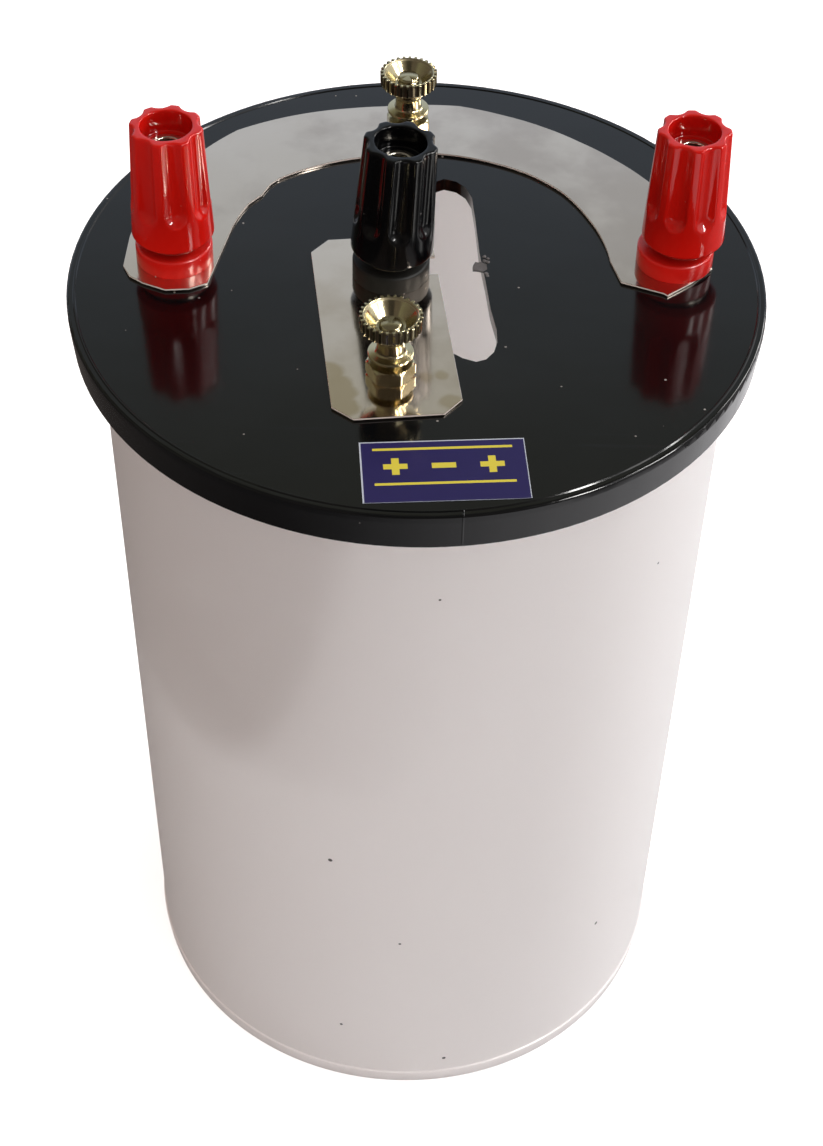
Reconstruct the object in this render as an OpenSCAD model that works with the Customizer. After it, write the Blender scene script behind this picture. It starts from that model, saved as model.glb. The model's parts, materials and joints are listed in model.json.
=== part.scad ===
// Copper voltameter: a plastic jar for copper sulphate solution, closed by a push-on lid.
// The lid carries three fluted socket posts and two brass thumb-nut terminals on top.
// Two hand-cut sheet links join them, and three copper plates hang from them inside.
// Millimetres, +Z up, origin on the bench at the middle of the jar's foot.

/* [Jar] */
// Height of the jar from the bench to its rim
jar_h = 173.5; // [150:0.5:200]
// Thickness of the jar's wall
jar_wall = 2; // [1.5:0.1:3]
// Thickness of the jar's floor
jar_floor = 2.5; // [1.5:0.1:5]
// How much smaller the foot's radius is than the top's
jar_draft = 2.3; // [0.5:0.05:4]
// Radius of the rounded edge at the foot
foot_round = 0.8; // [0.4:0.1:1.5]
// Height of the foot's lip above the bench
lip_rise = 3.6; // [2.5:0.1:6]
// How far the foot's lip stands out from the wall
foot_lip = 0.3; // [0.1:0.05:0.5]
// How far the rim stands out from the wall
rim_reach = 2.8; // [2:0.1:4]
// Height of the rim
rim_h = 5; // [3:0.1:8]

/* [Lid] */
// Outer diameter of the lid
lid_d = 125; // [118:0.5:135]
// Thickness of the lid's top
lid_t = 2.5; // [2:0.1:4]
// Height of the lid's skirt, from the top face down
skirt_h = 7.2; // [6:0.1:12]
// Thickness of the skirt
skirt_wall = 1.8; // [1.4:0.1:2.4]
// Free space between the jar's rim and the inside of the skirt
rim_gap = 0.5; // [0.3:0.05:1]
// Radius of the lid's rounded top edge
lid_round = 1.3; // [0.8:0.1:1.8]
// Distance from the lid's edge to the middle of its raised bead
bead_inset = 2.6; // [2.2:0.1:4]
// Width of the bead
bead_w = 1; // [0.6:0.1:1.4]
// Width left out of the lid by the long slot
slot_w = 10; // [7:0.1:12]

/* [Sheet links] */
// Thickness of the sheet that both links are cut from
sheet_t = 0.6; // [0.4:0.1:1]
// Distance from the jar's inside to the C-shaped link's outer edge
link_inset = 2.2; // [0.5:0.1:3]
// Width of the C-shaped link
link_w = 16.6; // [15.5:0.1:18]
// Width of the small link
plate_w = 22.2; // [20:0.1:26]
// Length of the small link
plate_l = 49.5; // [48:0.1:56]
// Size of the cut corners of the small link
plate_corner = 3.4; // [2:0.1:5]
// How far the small link is turned from square
plate_turn = 7.2; // [0:0.1:10]
// Width of the notch in the small link's edge
notch_w = 5.2; // [4:0.1:7]
// Depth of the notch
notch_depth = 3.2; // [2:0.1:4]

/* [Places on the lid] */
// Left red post, inwards from the jar's inside
left_post_inset = 11.7; // [9:0.1:13]
// Left red post, towards the back
left_post_y = 3.7; // [0:0.1:8]
// Black post, from the lid's middle
centre_post_x = -4.7; // [-7:0.1:-4]
// Black post, towards the back
centre_post_y = 0.5; // [-2:0.1:3]
// Right red post, inwards from the jar's inside
right_post_inset = 8; // [7.5:0.1:12]
// Right red post, towards the back
right_post_y = 5.6; // [0:0.1:8]
// Black post, inwards from the small link's back edge
plate_post_inset = 10.3; // [9:0.1:14]
// Front brass terminal, inwards from the small link's front edge
plate_terminal_inset = 11.2; // [9:0.1:16]
// Back brass terminal, inwards from the jar's inside
back_terminal_inset = 10.3; // [8.5:0.1:12]
// Back brass terminal, from the lid's middle
back_terminal_x = -2.4; // [-10:0.1:10]

/* [Posts] */
// Diameter of the post's stud
stud_d = 4; // [3.5:0.1:4]
// Diameter of the collar under the cap
collar_d = 13.8; // [12:0.1:15]
// Height of the collar
collar_h = 3.5; // [2.5:0.1:5]
// Open height between the collar and the cap, as the cap stands
cap_gap = 1.5; // [1:0.1:3]
// Height of the cap
cap_h = 22.9; // [20:0.1:26]
// Diameter of the cap at its widest, near the bottom
cap_base_d = 14.8; // [14:0.1:16]
// Diameter of the cap at its top
cap_top_d = 12.8; // [12.2:0.1:14]
// Diameter of the cap's mouth
mouth_d = 9.1; // [8:0.1:9.5]
// Depth of the cap's mouth
mouth_depth = 4.2; // [3:0.1:6]
// Lean of the black post, whose stud is bent just above its collar
centre_lean = 3.4; // [0:0.1:4]
// Number of flutes
flutes = 8; // [6:1:9]
// Radius of the round cutter that the flutes are shaped by
flute_r = 2.1; // [1.7:0.1:2.4]
// Depth of a flute at the cap's top
flute_depth_top = 0.8; // [0.5:0.05:1]
// Depth of a flute at its lower end
flute_depth_end = 1.2; // [0.8:0.05:1.6]
// Height of the plain band below the flutes
band_h = 6; // [4:0.1:9]
// Bore of the plug socket
socket_d = 4.1; // [4.05:0.05:4.3]
// Length of the plug socket
socket_l = 9.5; // [7:0.1:11]
// Outer diameter of the metal insert
insert_d = 6.4; // [5.8:0.1:7]
// Diameter of the flange at the insert's foot
flange_d = 11.8; // [9:0.1:12]

/* [Thumb nuts] */
// Diameter over the knurled rim
head_d = 10.8; // [10:0.1:12]
// Height of the knurled rim
head_band_h = 2.4; // [1.8:0.1:3.5]
// Height of the cone under the rim
head_cone_h = 2; // [1.5:0.1:3]
// Number of notches round the rim
knurls = 28; // [20:1:32]
// Diameter of the dish at the rim
dish_d = 9.3; // [8.6:0.1:9.4]
// Diameter of the neck's waist
neck_d = 6.2; // [6:0.1:7]
// Diameter of the neck's foot
neck_foot_d = 7.9; // [7.4:0.1:9]
// Height of the neck
neck_h = 4; // [3:0.1:6]
// Open height between the lock nut and the thumb nut, as it stands
thumb_gap = 1.5; // [1:0.1:3]
// Width across the flats of the lock nuts
lock_nut_af = 7.6; // [7:0.1:8.5]
// Height of the lock nuts
lock_nut_h = 2.9; // [2.2:0.1:4]
// How far the front stud stands above the thumb nut's dish floor
front_stud_show = 0.7; // [0.3:0.1:2]
// How far the back stud stands above the thumb nut's dish floor
back_stud_show = 1.7; // [0.3:0.1:2]

/* [Under the lid] */
// Diameter of the plastic bushes
bush_d = 12; // [10:0.1:12.5]
// Height of the plastic bushes
bush_h = 2.5; // [1.5:0.1:4]
// Width across the flats of the nuts
nut_af = 7; // [6.5:0.1:8]
// Height of the nuts
nut_h = 3.2; // [2.2:0.1:4]
// Diameter of the washers
washer_d = 9; // [8:0.1:11]
// Thickness of the washers
washer_t = 0.8; // [0.5:0.1:1.5]
// Length of stud left free below the last nut
stud_tail = 1.5; // [0.5:0.1:4]

/* [Copper plates] */
// Thickness of the copper
copper_t = 1; // [0.6:0.1:1.5]
// Width of the dipping part
blade_w = 50; // [36:0.5:52]
// Length of the dipping part
blade_l = 100; // [60:1:110]
// Radius of the dipping part's corners
blade_round = 4; // [1:0.5:8]
// Width of the tab and the neck
tab_w = 9; // [8:0.1:10]
// Length of the neck between the tab and the dipping part
copper_neck_l = 10; // [6:0.5:15]
// Radius inside the bend
bend_r = 1; // [0.5:0.1:1.6]
// Distance from the stud to the plate, left anode
left_reach = 8; // [7:0.1:12]
// Distance from the stud to the plate, cathode
centre_reach = 6.5; // [6.5:0.1:9]
// Distance from the stud to the plate, right anode
right_reach = 12; // [7:0.1:16]

/* [Hidden] */
$fn = 96;

// Clearances
over = 1;          // how far a cutter runs past a face
turn_gap = 0.05;   // between pieces that turn on each other
thread_gap = 0.03; // between a stud and what screws along it
hole_gap = 0.15;   // round a stud in the lid and in a link

// Jar and lid radii, from the lid inwards
lid_r = lid_d / 2;
skirt_in_r = lid_r - skirt_wall;
skirt_draft = 0.5;
rim_r = skirt_in_r - rim_gap;
jar_top_r = rim_r - rim_reach;
jar_in_r = jar_top_r - jar_wall;
jar_foot_r = jar_top_r - jar_draft;
link_out_r = jar_in_r - link_inset;
link_in_r = link_out_r - link_w;
bead_h = 0.35;
lip_r = 0.5;
floor_corner = 1.5;

// Heights on the lid
rim_foot = jar_h - rim_h - rim_reach;
lid_under = jar_h;
lid_top = jar_h + lid_t;
deck = lid_top + sheet_t;
collar_top = deck + collar_h;
cap_foot = collar_top + cap_gap;
stud_r = stud_d / 2;

// Cap and insert
cap_foot_d = cap_base_d - 2;
cap_chamfer_h = 1;
cap_edge = 0.3;
flange_drop = cap_gap / 2;
flange_sink = 0.3;
insert_top = cap_h - mouth_depth + 0.4;
relief_l = 1;
relief_d = 5;
thread_top = insert_top - socket_l - relief_l;
post_stud_top = cap_foot + thread_top - 0.2;
wire_hole_d = 1.8;
wire_hole_rise = 1.4;

// Thumb nut
neck_foot = deck + lock_nut_h + thumb_gap;
head_foot = neck_foot + neck_h + turn_gap;
foot_band = 0.5;
sleeve_d = 5.2;
sleeve_h = 1.1;
dish_floor = head_cone_h - 0.1;
dish_floor_d = 5.2;
knurl_depth = 0.55;
knurl_share = 0.64;

// Heights under the lid
bush_foot = lid_under - bush_h;
upper_nut_foot = bush_foot - nut_h;
tab_foot = upper_nut_foot - copper_t;
lower_nut_foot = tab_foot - nut_h;
post_stud_foot = lower_nut_foot - stud_tail;
washer_foot = lid_under - washer_t;
terminal_nut_foot = washer_foot - nut_h;
terminal_stud_foot = terminal_nut_foot - stud_tail;
blade_top = tab_foot - copper_neck_l;

// Places in the small link, from its middle
plate_post_at = [2.7, plate_l / 2 - plate_post_inset];
plate_terminal_at = [-0.3, plate_terminal_inset - plate_l / 2];
notch_at = plate_post_at[1] + 1.2;

// Places on the lid
left_post = [left_post_inset - jar_in_r, left_post_y];
centre_post = [centre_post_x, centre_post_y];
right_post = [jar_in_r - right_post_inset, right_post_y];
plate_middle = centre_post - turned(plate_post_at, plate_turn);
front_terminal = plate_middle + turned(plate_terminal_at, plate_turn);
back_terminal = [back_terminal_x, jar_in_r - back_terminal_inset];
posts = [left_post, centre_post, right_post];
terminals = [front_terminal, back_terminal];

// How far each cap, lock nut and thumb nut is turned as it stands
cap_turns = [20, 14, 28];
lock_nut_turns = [-3, 10];
head_turns = [0, 5];

// Right-hand side of the slot, cut by hand, from its back end to its front end
slot_right = [[4.7, 29.8], [7, 29], [8.8, 27.1], [9.9, 24], [10.5, 17.5], [11.2, 7.5],
              [12.3, -1.2], [13.1, -8.8], [14.1, -14.5], [14.2, -18], [13.6, -20.7]];
// Rounded front end of the slot
slot_front = [[12.2, -22.7], [10.5, -23.4], [8.2, -22.5]];
// Left-hand side, as distances in from the right-hand side's widths
slot_left = [[14.6, -19.8], [13.7, -13.5], [12.1, -6], [11, 2], [10.8, 15], [10.9, 24], [11.8, 28]];

// Snips along the C-shaped link, as an angle and how far the edge leaves its circle
outer_snips = [[5, 0.1], [20, -0.6], [35, -0.9], [45, -1.2], [54, -1.2], [62, -0.8], [73, -0.2],
               [82, 0.6], [90, 0.2], [98, -0.1], [105, 0.3], [114, 1.2], [123, 2.1], [129, 2.7],
               [138, 1.9], [155, 1], [170, 0]];
inner_snips = [[163, -0.6], [148, 0.6], [142, 0.4], [137, 1.5], [133, 1.8], [121, 1.1], [108, 0.5],
               [86, 0.7], [78, 0.7], [67, 0.7], [57, 0.8], [44, 0.5], [30, -0.6], [18, -1.1], [8, -1.4]];
snip_steps = 4;    // straight pieces that stand for the arc between two snips
// Ends of the C-shaped link, round the red posts, measured from each post
left_end = [[-9, -3.2], [-7.6, -6.1], [-5, -8], [-0.9, -9.8], [3.3, -9.4], [6.5, -7.6]];
right_end = [[-10.9, -6.7], [-3.5, -9.6], [-2.8, -10.2], [1.6, -6.6], [5.7, -2.2]];

function polar(a, r) = [r * cos(a), r * sin(a)];
function turned(p, a) = [p[0] * cos(a) - p[1] * sin(a), p[0] * sin(a) + p[1] * cos(a)];
// Edge that runs in short arcs from snip to snip
function snipped(snips, r) = [
    for (i = [0 : len(snips) - 1], k = [0 : i < len(snips) - 1 ? snip_steps - 1 : 0])
        let (next = snips[min(i + 1, len(snips) - 1)], s = snips[i] + (next - snips[i]) * k / snip_steps)
            polar(s[0], r + s[1])
];
function cap_r(z) = cap_base_d / 2
    - (cap_base_d - cap_top_d) / 2 * (z - cap_chamfer_h) / (cap_h - cap_chamfer_h);

module at(place, z) translate([place[0], place[1], z]) children();

module tube(d, bore, h) {
    difference() {
        cylinder(d = d, h = h);
        translate([0, 0, -over]) cylinder(d = bore, h = h + 2 * over);
    }
}

// Hex nut with both faces turned to a chamfer, bored to sit on its stud
module hex_nut(af, h) {
    corner_r = af / sqrt(3);
    lead = (corner_r - af / 2) * 0.75;
    intersection() {
        difference() {
            cylinder(r = corner_r, h = h, $fn = 6);
            translate([0, 0, -over]) cylinder(r = stud_r, h = h + 2 * over);
        }
        rotate_extrude() polygon([
            [0, 0], [af / 2, 0], [corner_r, lead], [corner_r, h - lead], [af / 2, h], [0, h]
        ]);
    }
}

// Leans a piece over from its post's bend, at the collar's top
module leaned(lean) {
    translate([0, 0, collar_top]) rotate([0, lean, 0]) translate([0, 0, -collar_top]) children();
}

// Plain round bar with a chamfer at each end, standing for a threaded stud
module stud_bar(low, high) {
    lead = 0.35;
    translate([0, 0, low]) rotate_extrude() polygon([
        [0, 0], [stud_r - lead, 0], [stud_r, lead], [stud_r, high - low - lead],
        [stud_r - lead, high - low], [0, high - low]
    ]);
}

module jar() {
    color("mistyrose") rotate_extrude() difference() {
        union() {
            // Upright foot with the tapered wall above it
            polygon([
                [0, 0], [jar_foot_r - foot_round, 0], [jar_foot_r - foot_round, foot_round],
                [jar_foot_r, foot_round], [jar_foot_r, lip_rise], [jar_top_r, jar_h], [0, jar_h]
            ]);
            // Thin lip where the wall meets the foot
            translate([jar_foot_r + foot_lip - lip_r, lip_rise]) circle(lip_r);
            translate([jar_foot_r - foot_round, foot_round]) intersection() {
                circle(foot_round);
                translate([0, -foot_round]) square(foot_round);
            }
            // Rim, with a cove under it
            translate([jar_in_r, jar_h - rim_h]) square([rim_r - jar_in_r, rim_h]);
            difference() {
                translate([jar_in_r, rim_foot]) square([rim_r - jar_in_r, rim_reach]);
                translate([rim_r, rim_foot]) circle(rim_reach);
            }
        }
        // Inside, with a cut corner at the floor
        polygon([
            [0, jar_floor], [jar_foot_r - jar_wall - floor_corner, jar_floor],
            [jar_foot_r - jar_wall, jar_floor + floor_corner],
            [jar_in_r, jar_h], [jar_in_r, jar_h + over], [0, jar_h + over]
        ]);
    }
}

module slot_cut() {
    left_side = [for (p = slot_left) [p[0] - slot_w, p[1]]];
    translate([0, 0, lid_under - over]) linear_extrude(lid_t + 2 * over)
        polygon(concat(slot_right, slot_front, left_side));
}

module lid() {
    color([0.09, 0.09, 0.1]) difference() {
        union() {
            rotate_extrude() union() {
                translate([0, lid_under]) square([lid_r - lid_round, lid_t]);
                // Skirt, drawn in a little towards its lower edge
                polygon([
                    [skirt_in_r, lid_top - skirt_h], [lid_r - skirt_draft, lid_top - skirt_h],
                    [lid_r, lid_top - lid_round], [skirt_in_r - over, lid_top - lid_round],
                    [skirt_in_r - over, lid_under], [skirt_in_r, lid_under]
                ]);
                translate([lid_r - lid_round, lid_top - lid_round]) circle(lid_round);
            }
            // Raised bead just inside the edge
            rotate_extrude() translate([lid_r - bead_inset - bead_w / 2, lid_top - over])
                polygon([
                    [0, 0], [bead_w, 0], [bead_w, over], [bead_w * 0.7, over + bead_h],
                    [bead_w * 0.3, over + bead_h], [0, over]
                ]);
        }
        slot_cut();
        for (p = concat(posts, terminals))
            at(p, lid_under - over) cylinder(r = stud_r + hole_gap, h = lid_t + 2 * over);
    }
}

module anode_link() {
    outer_edge = snipped(outer_snips, link_out_r);
    inner_edge = snipped(inner_snips, link_in_r);
    left_edge = [for (p = left_end) left_post + p];
    right_edge = [for (p = right_end) right_post + p];
    color([0.75, 0.74, 0.73]) translate([0, 0, lid_top]) linear_extrude(sheet_t) difference() {
        polygon(concat(outer_edge, left_edge, inner_edge, right_edge));
        for (p = [left_post, right_post, back_terminal])
            translate(p) circle(r = stud_r + hole_gap);
    }
}

module cathode_link() {
    half_w = plate_w / 2;
    half_l = plate_l / 2;
    color([0.75, 0.74, 0.73]) translate([0, 0, lid_top]) linear_extrude(sheet_t) difference() {
        translate(plate_middle) rotate(plate_turn) polygon([
            [half_w - plate_corner, half_l], [plate_corner - half_w, half_l],
            [-half_w, half_l - plate_corner], [-half_w, plate_corner - half_l],
            [plate_corner - half_w, -half_l], [half_w - plate_corner, -half_l],
            [half_w, plate_corner - half_l],
            [half_w, notch_at - notch_w / 2], [half_w - notch_depth, notch_at - notch_w / 2],
            [half_w - notch_depth, notch_at + notch_w / 2], [half_w, notch_at + notch_w / 2],
            [half_w, half_l - plate_corner]
        ]);
        for (p = [centre_post, front_terminal])
            translate(p) circle(r = stud_r + hole_gap);
    }
}

module collar(place, paint) {
    edge = 0.8;
    color(paint) at(place, deck) rotate_extrude() union() {
        translate([stud_r, 0]) square([collar_d / 2 - stud_r, collar_h - edge]);
        translate([stud_r, collar_h - edge - over / 2])
            square([collar_d / 2 - edge - stud_r, edge + over / 2]);
        translate([collar_d / 2 - edge, collar_h - edge]) circle(edge);
    }
}

module post_stud(place, lean) {
    color("goldenrod") at(place, 0) difference() {
        if (lean == 0) {
            stud_bar(post_stud_foot, post_stud_top);
        } else {
            // Bent stud: a straight foot and a leaning top that share a ball at the bend
            stud_bar(post_stud_foot, collar_top);
            translate([0, 0, collar_top]) sphere(stud_r);
            leaned(lean) stud_bar(collar_top, post_stud_top);
        }
        // Hole for a bare wire, just above the collar
        leaned(lean) translate([0, 0, collar_top + wire_hole_rise]) rotate([90, 0, 0])
            cylinder(d = wire_hole_d, h = 2 * stud_d, center = true);
    }
}

module insert(place, lean) {
    thread_r = stud_r + thread_gap;
    socket_r = socket_d / 2;
    color("gainsboro") at(place, 0) leaned(lean) translate([0, 0, cap_foot]) rotate_extrude() polygon([
        [thread_r, -flange_drop], [flange_d / 2, -flange_drop], [flange_d / 2, flange_sink],
        [insert_d / 2, flange_sink], [insert_d / 2, insert_top], [socket_r, insert_top],
        [socket_r, thread_top + relief_l], [relief_d / 2, thread_top + relief_l],
        [relief_d / 2, thread_top], [thread_r, thread_top]
    ]);
}

// One flute: a round cutter with a ball end, tilted with the cap's taper
module flute() {
    low_z = band_h + flute_r;
    low_x = cap_r(low_z) - flute_depth_end + flute_r;
    high_x = cap_top_d / 2 - flute_depth_top + flute_r;
    tilt = atan((low_x - high_x) / (cap_h - low_z));
    translate([low_x, 0, low_z]) rotate([0, -tilt, 0]) {
        sphere(r = flute_r);
        cylinder(r = flute_r, h = cap_h);
    }
}

module cap(place, paint, turn, lean) {
    bore_r = insert_d / 2 + turn_gap;
    recess_r = flange_d / 2 + turn_gap;
    recess = flange_sink + turn_gap;
    color(paint) at(place, 0) leaned(lean) translate([0, 0, cap_foot]) rotate(turn) difference() {
        rotate_extrude() polygon([
            [bore_r, recess], [recess_r, recess], [recess_r, 0], [cap_foot_d / 2, 0],
            [cap_base_d / 2, cap_chamfer_h], [cap_r(cap_h - cap_edge), cap_h - cap_edge],
            [cap_top_d / 2 - cap_edge, cap_h], [mouth_d / 2, cap_h],
            [mouth_d / 2, cap_h - mouth_depth], [bore_r, cap_h - mouth_depth]
        ]);
        for (i = [0 : flutes - 1]) rotate(i * 360 / flutes) flute();
    }
}

module bush(place, paint) {
    color(paint) at(place, bush_foot) tube(bush_d, stud_d, bush_h);
}

module terminal_stud(place, show) {
    color("khaki") at(place, 0) stud_bar(terminal_stud_foot, head_foot + dish_floor + show);
}

module lock_nut(place, turn) {
    color("khaki") at(place, deck) rotate(turn) hex_nut(lock_nut_af, lock_nut_h);
}

// Lower part of a thumb nut: a waisted neck, with a sleeve that the head sits on
module thumb_neck(place) {
    flare = (neck_foot_d - neck_d) / 2;
    flare_h = neck_h - foot_band - 0.6;
    hollow_r = (flare * flare + flare_h * flare_h) / (2 * flare);
    bore_r = stud_r + thread_gap;
    color("khaki") at(place, neck_foot) rotate_extrude() difference() {
        union() {
            translate([bore_r, 0]) square([neck_foot_d / 2 - bore_r, neck_h]);
            translate([bore_r, 0]) square([sleeve_d / 2 - bore_r, neck_h + sleeve_h]);
        }
        translate([neck_d / 2 + hollow_r, foot_band + flare_h]) circle(hollow_r);
    }
}

// Upper part of a thumb nut: a knurled rim round a polished dish
module thumb_head(place, turn) {
    notch = PI * head_d / knurls * knurl_share;
    seat_r = sleeve_d / 2 + turn_gap;
    seat_h = sleeve_h + turn_gap;
    bore_r = stud_r + thread_gap;
    top = head_cone_h + head_band_h;
    color("khaki") at(place, head_foot) rotate(turn) difference() {
        rotate_extrude() polygon([
            [seat_r, 0], [neck_d / 2, 0], [head_d / 2, head_cone_h], [head_d / 2, top],
            [dish_d / 2, top], [dish_floor_d / 2, dish_floor], [bore_r, dish_floor],
            [bore_r, seat_h], [seat_r, seat_h]
        ]);
        for (i = [0 : knurls - 1]) rotate(i * 360 / knurls)
            translate([head_d / 2 - knurl_depth, -notch / 2, head_cone_h - 0.2])
                cube([knurl_depth + over, notch, head_band_h + over]);
    }
}

// A copper plate: a tab clamped on the stud, a bend, a neck and the dipping blade.
// It is drawn for a stud at the origin, with the blade on the +X side.
module copper_plate(place, reach, side) {
    flat_l = reach - bend_r - copper_t;
    bend_x = reach - bend_r - copper_t;
    color("peru") at(place, 0) mirror([side < 0 ? 1 : 0, 0, 0]) {
        // Tab with a round end, bored for the stud
        translate([0, 0, tab_foot]) linear_extrude(copper_t) difference() {
            union() {
                circle(d = tab_w);
                translate([0, -tab_w / 2]) square([flat_l, tab_w]);
            }
            circle(r = stud_r);
        }
        // Bend
        translate([bend_x, tab_w / 2, tab_foot - bend_r]) rotate([90, 0, 0])
            linear_extrude(tab_w) intersection() {
                difference() {
                    circle(bend_r + copper_t);
                    circle(bend_r);
                }
                square(bend_r + copper_t);
            }
        // Neck and blade, drawn flat and stood up
        translate([reach - copper_t, 0, 0]) rotate([90, 0, 90]) linear_extrude(copper_t) {
            translate([-tab_w / 2, blade_top - over])
                square([tab_w, tab_foot - bend_r - blade_top + over]);
            translate([-blade_w / 2, blade_top - blade_l + blade_round])
                square([blade_w, blade_l - 2 * blade_round]);
            translate([blade_round - blade_w / 2, blade_top - blade_l])
                square([blade_w - 2 * blade_round, blade_l]);
            for (x = [-1, 1], z = [blade_top - blade_round, blade_top - blade_l + blade_round])
                translate([x * (blade_w / 2 - blade_round), z]) circle(blade_round);
        }
    }
}

module lid_nuts() {
    color("silver") {
        for (p = posts) {
            at(p, upper_nut_foot) hex_nut(nut_af, nut_h);
            at(p, lower_nut_foot) hex_nut(nut_af, nut_h);
        }
        for (p = terminals) at(p, terminal_nut_foot) hex_nut(nut_af, nut_h);
    }
}

module lid_washers() {
    color("silver") for (p = terminals) at(p, washer_foot) tube(washer_d, stud_d, washer_t);
}

jar();
lid();
anode_link();
cathode_link();
collar(left_post, "red");  // left_collar
post_stud(left_post, 0);  // left_stud
insert(left_post, 0);  // left_insert
cap(left_post, "red", cap_turns[0], 0);  // left_cap
bush(left_post, "red");  // left_bush
collar(centre_post, "black");  // centre_collar
post_stud(centre_post, centre_lean);  // centre_stud
insert(centre_post, centre_lean);  // centre_insert
cap(centre_post, [0.12, 0.12, 0.12], cap_turns[1], centre_lean);  // centre_cap
bush(centre_post, "black");  // centre_bush
collar(right_post, "red");  // right_collar
post_stud(right_post, 0);  // right_stud
insert(right_post, 0);  // right_insert
cap(right_post, "red", cap_turns[2], 0);  // right_cap
bush(right_post, "red");  // right_bush
terminal_stud(front_terminal, front_stud_show);  // front_stud
lock_nut(front_terminal, lock_nut_turns[0]);  // front_lock_nut
thumb_neck(front_terminal);  // front_thumb_neck
thumb_head(front_terminal, head_turns[0]);  // front_thumb_head
terminal_stud(back_terminal, back_stud_show);  // back_stud
lock_nut(back_terminal, lock_nut_turns[1]);  // back_lock_nut
thumb_neck(back_terminal);  // back_thumb_neck
thumb_head(back_terminal, head_turns[1]);  // back_thumb_head
copper_plate(left_post, left_reach, 1);  // left_anode
copper_plate(right_post, right_reach, -1);  // right_anode
copper_plate(centre_post, centre_reach, -1);  // cathode
lid_nuts();
lid_washers();
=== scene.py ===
import json
import math
import random

import bpy
from mathutils import Matrix, Vector

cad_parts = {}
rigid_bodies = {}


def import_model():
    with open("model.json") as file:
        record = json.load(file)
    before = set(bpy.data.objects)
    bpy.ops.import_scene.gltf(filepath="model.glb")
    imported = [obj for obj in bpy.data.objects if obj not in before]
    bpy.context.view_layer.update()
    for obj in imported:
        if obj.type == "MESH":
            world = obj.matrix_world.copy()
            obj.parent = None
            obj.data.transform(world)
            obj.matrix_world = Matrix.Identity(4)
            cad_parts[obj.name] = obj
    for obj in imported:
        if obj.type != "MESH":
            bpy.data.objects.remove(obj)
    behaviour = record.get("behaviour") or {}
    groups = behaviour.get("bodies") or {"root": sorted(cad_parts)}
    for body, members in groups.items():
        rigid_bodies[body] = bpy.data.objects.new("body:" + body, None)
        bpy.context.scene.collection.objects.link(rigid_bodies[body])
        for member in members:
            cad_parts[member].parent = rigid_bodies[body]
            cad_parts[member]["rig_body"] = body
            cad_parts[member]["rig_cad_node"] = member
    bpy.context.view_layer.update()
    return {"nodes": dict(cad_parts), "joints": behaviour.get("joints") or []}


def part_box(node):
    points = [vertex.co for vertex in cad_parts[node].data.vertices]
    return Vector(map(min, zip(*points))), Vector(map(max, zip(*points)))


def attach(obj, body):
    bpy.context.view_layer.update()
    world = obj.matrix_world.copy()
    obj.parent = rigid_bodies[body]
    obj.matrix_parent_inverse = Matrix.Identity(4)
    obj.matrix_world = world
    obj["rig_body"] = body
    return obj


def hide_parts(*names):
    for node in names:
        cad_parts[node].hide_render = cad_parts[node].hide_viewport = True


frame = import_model()


# Camera. It stands in front of the jar and above it, and looks down at the lid with a slight roll.
focal_length = 2325.4  # in pixels of a picture 1146 pixels high
picture_height = 1146
sensor = 36
camera_at = (0, -0.33172, 0.43403)
camera_yaw = 0.0006
camera_pitch = 0.7880
camera_roll = 0.0224
aim = (
    Matrix.Rotation(-camera_yaw, 3, "Z")
    @ Matrix.Rotation(math.pi / 2 - camera_pitch, 3, "X")
    @ Matrix.Rotation(camera_roll, 3, "Z")
)
bpy.ops.object.camera_add(location=camera_at, rotation=aim.to_euler())
camera = bpy.context.object
camera.data.sensor_width = sensor
camera.data.lens = focal_length / picture_height * sensor
bpy.context.scene.camera = camera
bpy.context.scene.view_settings.view_transform = "Standard"


# Room. A pale floor in a white surround, lit softly from all round and by a tall window at the back
# right. Screens stand for the room's walls, ceiling and windows, and only polished surfaces see them.
class Amount:
    """One shader socket, with the arithmetic that the finishes use."""

    def __init__(self, socket):
        self.socket = socket

    def result(self, operation, first, second):
        tree = self.socket.id_data
        node = tree.nodes.new("ShaderNodeMath")
        node.operation = operation
        for socket, value in zip(node.inputs, (first, second)):
            if isinstance(value, Amount):
                tree.links.new(value.socket, socket)
            else:
                socket.default_value = value
        return Amount(node.outputs[0])

    def __add__(self, other):
        return self.result("ADD", self, other)

    def __radd__(self, other):
        return self.result("ADD", other, self)

    def __sub__(self, other):
        return self.result("SUBTRACT", self, other)

    def __rsub__(self, other):
        return self.result("SUBTRACT", other, self)

    def __mul__(self, other):
        return self.result("MULTIPLY", self, other)

    def __rmul__(self, other):
        return self.result("MULTIPLY", other, self)

    def __abs__(self):
        return self.result("ABSOLUTE", self, 0)


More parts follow.
